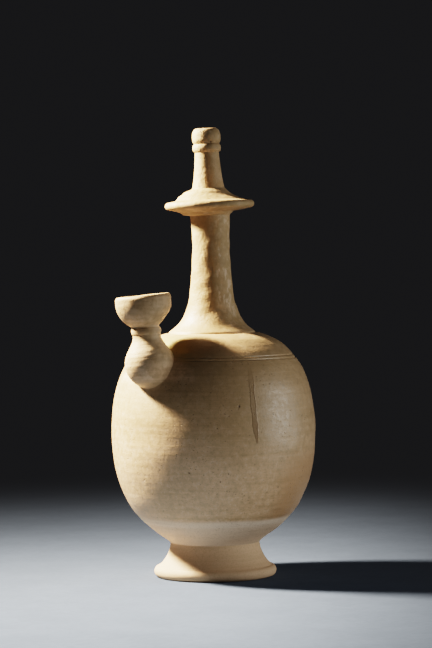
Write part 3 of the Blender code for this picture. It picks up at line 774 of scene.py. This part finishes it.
def vessel_relief(profile, angle, sizes, lines, seam):
    """How far each point of the vessel's outside stands off its profile, for every row and column.

    It is the sum of ridges, ovalness and lumps, less a bell across each incised line and across the
    seam, plus the thickness of the glaze. It is nothing on the inside, and fades out at the axis.
    """
    height = profile.points[:, 1:]
    at = profile.at[:, None]
    body = within(height, FOOT_HEIGHT, FOOT_HEIGHT + 6 * MM, SHOULDER_TOP - 4 * MM, SHOULDER_TOP)
    neck = within(height, SHOULDER_TOP, SHOULDER_TOP + 8 * MM, NECK_TOP - 8 * MM, NECK_TOP)
    tube = smooth_ramp(height, TUBE_BASE_HEIGHT, TUBE_BASE_HEIGHT + 2 * MM)
    above_bead = smooth_ramp(height, FOOT_BEAD_HEIGHT, FOOT_HEIGHT)
    calm_top = 1 - 0.75 * smooth_ramp(height, NECK_TOP - 4 * MM, NECK_TOP)

    relief = sizes.ridge_depth * (0.4 + 0.6 * body) * uneven(at, angle, BODY_RIDGE_PITCH, 3)
    relief += sizes.ridge_depth * tube * uneven(at, angle, TUBE_RIDGE_PITCH, 4)
    relief += sizes.oval_depth * body * np.cos(2 * angle + height / OVAL_TWIST_HEIGHT)
    relief += sizes.lump_depth * above_bead * calm_top * lumps(at, angle, BODY_LUMP_PITCH, 41)
    relief += sizes.lump_depth * neck * lumps(at, angle, NECK_LUMP_PITCH, 43)
    worn = 0.62 + 0.38 * np.cos(angle - SEEN_SIDE - SHARPEST_LINES)
    for line, seed in zip(lines, (5, 8)):
        line_at = line + LINE_WANDER * wander(angle, seed)
        relief -= sizes.line_depth * worn * hump(at, line_at, sizes.line_width / 2)
    seam_at = seam + SEAM_WANDER * wander(angle, 12)
    seam_depth = sizes.seam_depth * (0.75 + 0.35 * wander(angle, 13))
    relief -= seam_depth * hump(at, seam_at, SEAM_WIDTH)
    glaze_end = GLAZE_STEP_HEIGHT + GLAZE_STEP_WANDER * wander(angle, 21)
    relief += sizes.glaze_step * body * smooth_ramp(height, glaze_end, glaze_end + GLAZE_STEP_WIDTH)
    relief = np.where(profile.outside[:, None], relief, 0.0)
    return relief * smooth_ramp(profile.points[:, :1], 0.0, 4 * MM)


class KUNDIKA_OT_vessel(bpy.types.Operator):
    """Builds the body with its foot, neck, flange and tube as one turned surface"""

    bl_idname = "kundika.vessel"
    bl_label = "Build vessel"

    def execute(self, context):
        outside = rounded(vessel_outside(), PROFILE_ROUNDING)
        lines = [where_shoulder(outside, radius) for radius in (LOWER_LINE_RADIUS, UPPER_LINE_RADIUS)]
        seam = where_shoulder(outside, NECK_SEAM_RADIUS)
        profile = TurnedProfile(outside, vessel_inside(), (*lines, seam))
        angle = np.arange(VESSEL_COLUMNS) * FULL_TURN / VESSEL_COLUMNS
        relief = vessel_relief(profile, angle, context.scene.vessel_sizes, lines, seam)
        bulb = np.array(spout_place()[0])
        apart = np.linalg.norm(revolve(profile, angle, relief) - bulb, axis=-1) - BULB_RADIUS
        relief += joint_clay(apart, context.scene.spout_sizes.fillet) * profile.outside[:, None]
        add_piece("vessel", lean_upper_section(revolve(profile, angle, relief)))
        return {"FINISHED"}


class KUNDIKA_OT_spout(bpy.types.Operator):
    """Builds the filling spout with its bulb, collar and cup as one turned surface"""

    bl_idname = "kundika.spout"
    bl_label = "Build filling spout"

    def execute(self, context):
        sizes = context.scene.spout_sizes
        outside = rounded(np.vstack([bulb_profile(), cup_profile()]), PROFILE_ROUNDING)
        profile = TurnedProfile(outside, spout_inside())
        angle = np.arange(SPOUT_COLUMNS) * FULL_TURN / SPOUT_COLUMNS
        height = profile.points[:, 1:]
        at = profile.at[:, None]
        on_bulb = 1 - smooth_ramp(height, BULB_RADIUS, SPOUT_NECK_BOTTOM)
        relief = sizes.ridge_depth * (0.3 + 0.7 * on_bulb) * uneven(at, angle, sizes.ridge_pitch, 31)
        low_cup = hump(height, CUP_FOOT_HEIGHT + SLUMP_RISE, SLUMP_REACH)
        slumped_side = np.maximum(np.cos(angle - VIEW_AZIMUTH), 0.0) ** 2
        relief -= sizes.slump * low_cup * slumped_side
        relief = np.where(profile.outside[:, None], relief, 0.0)
        grid = revolve(profile, angle, relief * smooth_ramp(profile.points[:, :1], 0.0, 3 * MM))
        lip = smooth_ramp(height, CUP_WIDEST_HEIGHT - CUP_RISE / 2, CUP_WIDEST_HEIGHT)
        grid[..., 2] += sizes.lip_wander * lip * (wander(angle, 33) - 0.6)
        centre, axis = spout_place()
        turn = np.array(UP.rotation_difference(axis).to_matrix())
        grid = grid @ turn.T + np.array(centre)
        apart, way_out = beyond_body(grid)
        depth = np.where(profile.outside, BODY_WALL * 0.6, BODY_WALL * 0.4)[:, None]
        sunk = np.maximum(-depth - apart, 0.0)
        grid += way_out * sunk[..., None]
        away = grid - np.array(centre)
        away /= np.maximum(np.linalg.norm(away, axis=-1, keepdims=True), MM)
        near_body = joint_clay(np.abs(apart), sizes.fillet) * profile.outside[:, None] * on_bulb
        grid += away * near_body[..., None]
        grid[0], grid[-1] = grid[0].mean(0), grid[-1].mean(0)
        add_piece("filling_spout", grid)
        return {"FINISHED"}


def worked(operation, turned=False):
    """A method for one of Python's operators, which adds a Math node. The reflected form is turned."""
    def method(strand, other):
        return strand.bench.math(operation, *((other, strand) if turned else (strand, other)))
    return method


class Strand:
    """A shader socket that Python's arithmetic works on, each operation as one Math node."""

    __add__, __radd__ = worked("ADD"), worked("ADD", True)
    __sub__, __rsub__ = worked("SUBTRACT"), worked("SUBTRACT", True)
    __mul__, __rmul__ = worked("MULTIPLY"), worked("MULTIPLY", True)
    __truediv__, __rtruediv__ = worked("DIVIDE"), worked("DIVIDE", True)

    def __init__(self, bench, socket):
        self.bench = bench
        self.socket = socket

    def other_output(self, index):
        """Another output of the same node."""
        return Strand(self.bench, self.socket.node.outputs[index])


class GlazeBench:
    """Lays out the nodes of one material, whose patterns all read the object's own coordinates."""

    def __init__(self, name):
        self.material = bpy.data.materials.new(name)
        self.material.use_nodes = True
        self.tree = self.material.node_tree
        self.shader = self.tree.nodes["Principled BSDF"]
        self.place = self.node("ShaderNodeTexCoord", output=3)

    def node(self, kind, settings=None, sockets=None, output=0):
        """Adds a node with its settings and with values or links on its sockets, and returns one output."""
        made = self.tree.nodes.new(kind)
        for key, value in (settings or {}).items():
            setattr(made, key, value)
        for key, value in (sockets or {}).items():
            self.plug(made, key, value)
        return Strand(self, made.outputs[output])

    def plug(self, node, key, value):
        """Sets one socket of a node, by a link or by a plain value."""
        if isinstance(value, Strand):
            self.tree.links.new(value.socket, node.inputs[key])
        else:
            node.inputs[key].default_value = value

    def feed(self, **values):
        """Sets the shader's own sockets, named with underscores for spaces."""
        for name, value in values.items():
            self.plug(self.shader, name.replace("_", " "), value)

    def math(self, operation, first, second=0.0):
        """The result of one Math node."""
        return self.node("ShaderNodeMath", {"operation": operation}, {0: first, 1: second})

    def vector(self, operation, first, second=(0.0, 0.0, 0.0), output=0):
        """The result of one Vector Math node: a vector on output 0, or a number on output 1."""
        return self.node("ShaderNodeVectorMath", {"operation": operation}, {0: first, 1: second}, output)

    def smooth(self, value, low, high):
        """0 below low, 1 above high, and a smooth step between them. With high below low it falls."""
        ends = {"Value": value, "From Min": low, "From Max": high}
        return self.node("ShaderNodeMapRange", {"interpolation_type": "SMOOTHSTEP"}, ends)

    def mix(self, amount, first, second):
        """The first colour where the amount is 0, and the second where it is 1."""
        return self.node("ShaderNodeMix", {"data_type": "RGBA"}, {0: amount, 6: first, 7: second}, 2)

    def noise(self, scale, detail, roughness):
        """Noise from 0 to 1. A scale of three numbers stretches it along the axes."""
        place = self.place
        if isinstance(scale, tuple):
            place, scale = self.vector("MULTIPLY", place, scale), 1.0
        sockets = {"Vector": place, "Scale": scale, "Detail": detail, "Roughness": roughness}
        return self.node("ShaderNodeTexNoise", None, sockets)

    def millimetres_from(self, point):
        """The distance from a point, in millimetres."""
        return self.vector("DISTANCE", self.place, point, 1) / MM

    def glaze_run(self, height, apart, half_width, top, end):
        """How thick a run of glaze lies, from its distance to its middle line in millimetres.

        It is 1 on the middle line and falls to 0 beyond the half width, plus a rim, which is 4w(1 - w)
        of that fall. It narrows towards its lower end, and fades out towards its top.
        """
        wobble = self.noise((60.0, 60.0, 130.0), 3.0, 0.65) * 2.6 - 1.3
        half_width = self.smooth(height, end - 1.0, end + 9.0) * half_width + 0.15
        width = self.smooth(apart + wobble, half_width * 1.5, half_width * 0.5)
        rim = 4.0 * width * (1.0 - width)
        lower = self.smooth(height, end + 26.0, end + 4.0)
        ends = self.smooth(height, end, end + 1.2) * self.smooth(height, top, top - 20.0)
        return (width * (0.35 + lower * 0.3) + rim * 0.4) * ends

    def pinholes(self, cell, share, size):
        """Small round holes, one in a share of the cells of a Voronoi pattern, cells in millimetres."""
        spots = self.node("ShaderNodeTexVoronoi", None, {"Vector": self.place, "Scale": 1 / (cell * MM)})
        chance = self.node("ShaderNodeSeparateColor", None, {0: spots.other_output(1)})
        chosen = self.smooth(chance, share, share * 0.9)
        return chosen * self.smooth(spots, size, size * 0.5)

    def large_pits(self, grain):
        """The pits that stand at set places, the largest value of all of them."""
        pits = 0.0
        for degrees, level, radius in PITS:
            angle = math.radians(degrees) + SEEN_SIDE
            out = surface_radius(level * MM)
            apart = self.millimetres_from((out * math.cos(angle), out * math.sin(angle), level * MM))
            pit = self.smooth(apart + grain * 0.5, radius * 1.6, radius * 0.5)
            pits = self.math("MAXIMUM", pits, pit)
        return pits


def surface_radius(height):
    """The radius of the outside at a height, read from the nearest point of the profile."""
    outside = vessel_outside()
    return float(outside[np.argmin(np.abs(outside[:, 1] - height)), 0])


def glaze_material():
    """The glaze and the bare clay, made once and shared by every piece.

    The colour is laid on in layers, each over the last by its own amount from 0 to 1.
    """
    known = bpy.data.materials.get("worn_cream_glaze")
    if known:
        return known
    look = bpy.context.scene.glaze_look
    bench = GlazeBench("worn_cream_glaze")
    smooth = bench.smooth
    x = bench.node("ShaderNodeSeparateXYZ", None, {0: bench.place})
    y = x.other_output(1)
    height = x.other_output(2) / MM
    front = x * math.cos(SEEN_SIDE) + y * math.sin(SEEN_SIDE)
    right = y * math.cos(SEEN_SIDE) - x * math.sin(SEEN_SIDE)
    around = bench.math("ARCTAN2", right, front) * math.degrees(1)

    streaks = bench.noise((14.0, 14.0, 420.0), 5.0, 0.65)
    broad = bench.noise(22.0, 3.0, 0.55)
    blotch = bench.noise(95.0, 4.0, 0.6)
    pebble = bench.noise(330.0, 3.0, 0.6)
    grain = bench.noise(1100.0, 3.0, 0.7)
    edge_wave = bench.noise((30.0, 30.0, 4.0), 2.0, 0.5)

    # Where each zone of the surface lies
    glazed = smooth(height - edge_wave * 2.4, GLAZE_END - 2.7, GLAZE_END - 0.3)
    unglazed = 1.0 - glazed
    below_second_edge = smooth(height - edge_wave * 1.6, SECOND_EDGE - 0.6, SECOND_EDGE - 1.6)
    on_foot = smooth(height, FOOT_HEIGHT / MM + 0.4, FOOT_HEIGHT / MM - 0.4)
    on_neck = smooth(height, SHOULDER_TOP / MM - 12.0, SHOULDER_TOP / MM + 26.0)
    below_flange = on_neck * smooth(height, 212.0, 205.0)
    on_shoulder = smooth(height + blotch * 6.0, 108.0, 138.0)
    on_spout = smooth(x, -0.0445, -0.0475) * smooth(height, 114.0, 119.0)
    dry = bench.math("MAXIMUM", on_neck, on_spout)
    # The olive round the spout's joint, above the bulb: partly glaze pooled at the joint, partly painted
    # shade where the spout's shadow falls.
    near_bulb = smooth(bench.millimetres_from(spout_place()[0]) + blotch * 8.0, 38.0, 20.0)
    joint_pool_and_shadow = near_bulb * smooth(height, 122.0, 134.0)
    flakes = smooth(bench.noise((300.0, 300.0, 170.0), 3.0, 0.65), 0.5, 0.62)
    flakes = flakes * smooth(around, 4.0, 26.0) * smooth(around, 115.0, 60.0)
    low_right = smooth(around, 34.0, 52.0) * smooth(around, 150.0, 95.0)
    low_right = low_right * smooth(height + blotch * 16.0, 88.0, 72.0)

    # Runs, pits and pinholes
    bow = (height - 104.0) / 24.0
    from_long = bench.math("ABSOLUTE", (around - RUN_DEGREES - bow * bow * RUN_BOW_DEGREES) * MM_PER_DEGREE)
    from_short = bench.math("ABSOLUTE", (around - SHORT_RUN_DEGREES) * MM_PER_DEGREE)
    long_run = bench.glaze_run(height, from_long, RUN_HALF_WIDTH, RUN_TOP, RUN_END)
    short_run = bench.glaze_run(height, from_short, SHORT_RUN_HALF_WIDTH, SHORT_RUN_TOP, SHORT_RUN_END)
    runs = smooth(front, 0.0, 10 * MM) * (long_run + short_run * 0.22)
    pits = bench.large_pits(grain)
    clustered = smooth(bench.noise(55.0, 2.0, 0.5), 0.45, 0.6)
    fine_holes = bench.pinholes(1.5, 0.42, 0.24) * (0.12 + clustered * 0.88)
    specks = bench.pinholes(3.6, 0.25, 0.15)
    spared = 1.0 - unglazed * 0.35 - on_foot * 0.4 - on_spout * 0.75
    dark = bench.math("MAXIMUM", pits * 0.85, fine_holes * spared * 0.52)
    dark = bench.math("MAXIMUM", dark, specks * spared * 0.4)

    pooled, slip = look.pooled_glaze, look.pale_slip
    colour = rgb(look.thin_glaze)
    for amount, layer in (
        (smooth(broad, 0.35, 0.75) * 0.35, pooled),
        (smooth(streaks, 0.45, 0.75) * 0.36, pooled),
        (smooth(streaks, 0.5, 0.2) * 0.25, slip),
        (on_shoulder * smooth(blotch, 0.35, 0.7) * 0.35, pooled),
        (on_neck * smooth(blotch, 0.3, 0.65) * 0.55, pooled),
        (smooth(pebble, 0.48, 0.68) * 0.34, pooled),
        (smooth(pebble, 0.5, 0.32) * 0.3, slip),
        (smooth(grain, 0.5, 0.68) * 0.27, look.run),
        # Darker pooled glaze towards the top of the body: partly the glaze's own tint near the shoulder,
        # partly painted light, the lower body painted paler as if lit by the floor.
        (smooth(height + blotch * 12.0, 64.0, 124.0) * 0.42, pooled),
        # Partly painted shade: olive where the spout's shadow falls above the bulb, and glaze pooled at the
        # joint.
        (joint_pool_and_shadow * 0.65, look.joint_glaze_and_shade),
        (on_spout * 0.7, look.thin_glaze),
        (on_spout * smooth(blotch, 0.4, 0.65) * 0.3, slip),
        (on_spout * smooth(streaks * 0.5 + pebble * 0.5, 0.42, 0.6) * 0.3, look.run),
        (below_flange * 0.35, pooled),
        (below_flange * flakes * 0.42, slip),
        (low_right * 0.55, look.ruddy),
        (runs, look.run),
        (unglazed, slip),
        (below_second_edge * 0.3, look.biscuit),
        (on_foot, look.biscuit),
        (unglazed * smooth(grain, 0.48, 0.66) * 0.16, look.run),
        (unglazed * smooth(streaks, 0.45, 0.68) * 0.16, pooled),
        (dark, look.speck),
    ):
        colour = bench.mix(amount, colour, rgb(layer))

    gloss = glazed * (1.0 - on_foot)
    dull = look.biscuit_roughness - gloss * (look.biscuit_roughness - look.glaze_roughness)
    worn_gloss = smooth(pebble * 0.5 + grain * 0.5, 0.46, 0.55)
    lift = (streaks * 0.07 + grain * 0.07 + pebble * 0.15 + blotch * 0.10) * (1.0 - on_spout * 0.55)
    lift = lift + on_neck * (pebble * 0.27 + blotch * 0.35)
    lift = lift + runs * 0.16 - pits * 0.5 - fine_holes * 0.16
    bench.feed(
        Base_Color=colour,
        Roughness=dull + dry * 0.2 + (blotch - 0.5) * 0.16,
        Coat_Weight=gloss * (1.0 - dry) * worn_gloss * 0.8,
        Coat_Roughness=0.42,
        Normal=bench.node("ShaderNodeBump", None, {"Height": lift, "Distance": MM}),
    )
    return bench.material


def floor_material(look):
    """The floor, with painted light: pale round the vessel, painted as dark as the room behind and to the
    right.

    The share of its pale colour that stays is (1 - f) squared, where f rises smoothly along a slanted way
    to the back, with a longer and fainter tail added. This painted falloff also falls to the right and
    beyond a painted pool of light round the vessel.
    """
    bench = GlazeBench("pale_floor")
    far = bench.vector("DOT_PRODUCT", bench.place, VIEW_BEHIND - VIEW_RIGHT * FADE_SLANT, 1)
    side = bench.vector("DOT_PRODUCT", bench.place, VIEW_RIGHT, 1)
    away = bench.vector("LENGTH", bench.place, output=1)
    # Painted light on the floor: a painted falloff towards the back with a fainter tail, and a painted fall
    # to the right.
    painted_light_share = bench.smooth(far, FADE_END, FADE_START)
    tail = bench.smooth(far, TAIL_END, TAIL_START)
    painted_light_share = painted_light_share * painted_light_share * (1.0 - TAIL_SHARE) + tail * TAIL_SHARE
    painted_light_share = painted_light_share * bench.smooth(side, SIDE_FADE_END, SIDE_FADE_START)
    # Painted shade: the floor darkens beyond a painted pool of light round the vessel.
    dark = 1.0 - painted_light_share * bench.smooth(away, POOL_REACH * 2, POOL_REACH)
    paper = bench.noise(240.0, 3.0, 0.6)
    mottle = bench.smooth(bench.noise(26.0, 4.0, 0.7) * 0.6 + paper * 0.4, 0.35, 0.65) * 0.09
    surface = bench.mix(mottle, rgb(look.floor_colour), rgb(look.painted_dark_colour))
    bench.feed(
        Base_Color=bench.mix(dark, surface, rgb(look.painted_dark_colour)),
        Roughness=0.8 + paper * 0.1,
        Specular_IOR_Level=0.0,
        # Painted glow: where the floor is painted dark it glows with the room's colour, though it is no
        # lamp.
        Emission_Color=bench.mix(dark, rgb((0.0, 0.0, 0.0)), rgb(look.room_colour)),
        Emission_Strength=1.0,
    )
    return bench.material


def add_light(name, direction, distance, width, watts, colour):
    """A square light at a distance in one direction from the middle of the vessel, facing it."""
    light = bpy.data.lights.new(name, "AREA")
    light.shape = "SQUARE"
    light.size = width
    light.energy = watts
    light.color = colour
    lamp = bpy.data.objects.new(name, light)
    place = UP * VESSEL_TOP / 2 + direction.normalized() * distance
    turn = direction.to_track_quat("Z", "Y").to_matrix().to_4x4()
    lamp.matrix_world = Matrix.Translation(place) @ turn
    bpy.context.scene.collection.objects.link(lamp)


def add_camera():
    """The camera where the photograph was taken from, turned the same way."""
    level, down = math.cos(LOOK_DOWN), math.sin(LOOK_DOWN)
    look = Vector((math.sin(LOOK_AZIMUTH) * level, math.cos(LOOK_AZIMUTH) * level, -down))
    side = look.cross(UP).normalized()
    up = side.cross(look)
    right = side * math.cos(VIEW_ROLL) - up * math.sin(VIEW_ROLL)
    upward = up * math.cos(VIEW_ROLL) + side * math.sin(VIEW_ROLL)
    turn = Matrix((right, upward, -look)).transposed().to_4x4()
    place = UP * VIEW_HEIGHT - VIEW_BEHIND * VIEW_DISTANCE
    lens = bpy.data.cameras.new("camera")
    lens.sensor_fit = "VERTICAL"
    lens.sensor_height = SENSOR_MM
    lens.lens = LENS_MM
    camera = bpy.data.objects.new("camera", lens)
    camera.matrix_world = Matrix.Translation(place) @ turn
    bpy.context.scene.collection.objects.link(camera)
    bpy.context.scene.camera = camera


class KUNDIKA_OT_stage(bpy.types.Operator):
    """Adds the floor with its painted light, the two lights and the camera"""

    bl_idname = "kundika.stage"
    bl_label = "Build stage"

    def execute(self, context):
        scene = context.scene
        look = scene.stage_look
        far = FLOOR_HALF_WIDTH
        corners = [(x, y, CAD_BOX[0][2]) for x, y in ((-far, -far), (far, -far), (far, far), (-far, far))]
        mesh = bpy.data.meshes.new("floor")
        mesh.from_pydata(corners, [], [(0, 1, 2, 3)])
        mesh.materials.append(floor_material(look))
        floor = bpy.data.objects.new("floor", mesh)
        scene.collection.objects.link(floor)

        across = VIEW_BEHIND * math.sin(KEY_BEHIND) - VIEW_RIGHT * math.cos(KEY_BEHIND)
        key = across * math.cos(KEY_RISE) + UP * math.sin(KEY_RISE)
        add_light("key_light", key, KEY_DISTANCE, KEY_WIDTH, look.key_watts, KEY_COLOUR)
        fill = VIEW_RIGHT - VIEW_BEHIND * FILL_FROM_FRONT
        add_light("fill_light", fill, FILL_DISTANCE, FILL_WIDTH, look.fill_watts, FILL_COLOUR)
        room = bpy.data.worlds.new("dim_room")
        room.use_nodes = True
        room.node_tree.nodes["Background"].inputs["Color"].default_value = rgb(look.room_colour)
        scene.world = room
        scene.view_settings.view_transform = "Filmic"
        scene.view_settings.look = "Very High Contrast"
        add_camera()
        return {"FINISHED"}


class KUNDIKA_PT_panel(bpy.types.Panel):
    """Lists the vessel's steps and sizes"""

    bl_label = "Kundika"
    bl_idname = "KUNDIKA_PT_panel"
    bl_space_type = "VIEW_3D"
    bl_region_type = "UI"
    bl_category = "Kundika"

    def draw(self, context):
        for step in STEPS:
            self.layout.operator(step.bl_idname)
        for group in GROUPS:
            box = self.layout.box()
            settings = getattr(context.scene, group)
            for name in settings.__annotations__:
                box.prop(settings, name)


GROUPS = {
    "vessel_sizes": VesselSizes,
    "spout_sizes": SpoutSizes,
    "glaze_look": GlazeLook,
    "stage_look": StageLook,
}
STEPS = (KUNDIKA_OT_vessel, KUNDIKA_OT_spout, KUNDIKA_OT_stage)


def register():
    for kind in (*GROUPS.values(), *STEPS, KUNDIKA_PT_panel):
        bpy.utils.register_class(kind)
    for name, kind in GROUPS.items():
        setattr(bpy.types.Scene, name, bpy.props.PointerProperty(type=kind))


def unregister():
    for name in GROUPS:
        delattr(bpy.types.Scene, name)
    for kind in reversed((*GROUPS.values(), *STEPS, KUNDIKA_PT_panel)):
        bpy.utils.unregister_class(kind)


def main():
    register()
    bpy.ops.kundika.vessel()
    bpy.ops.kundika.spout()
    bpy.ops.kundika.stage()
    bpy.context.view_layer.update()


if __name__ == "__main__":
    main()
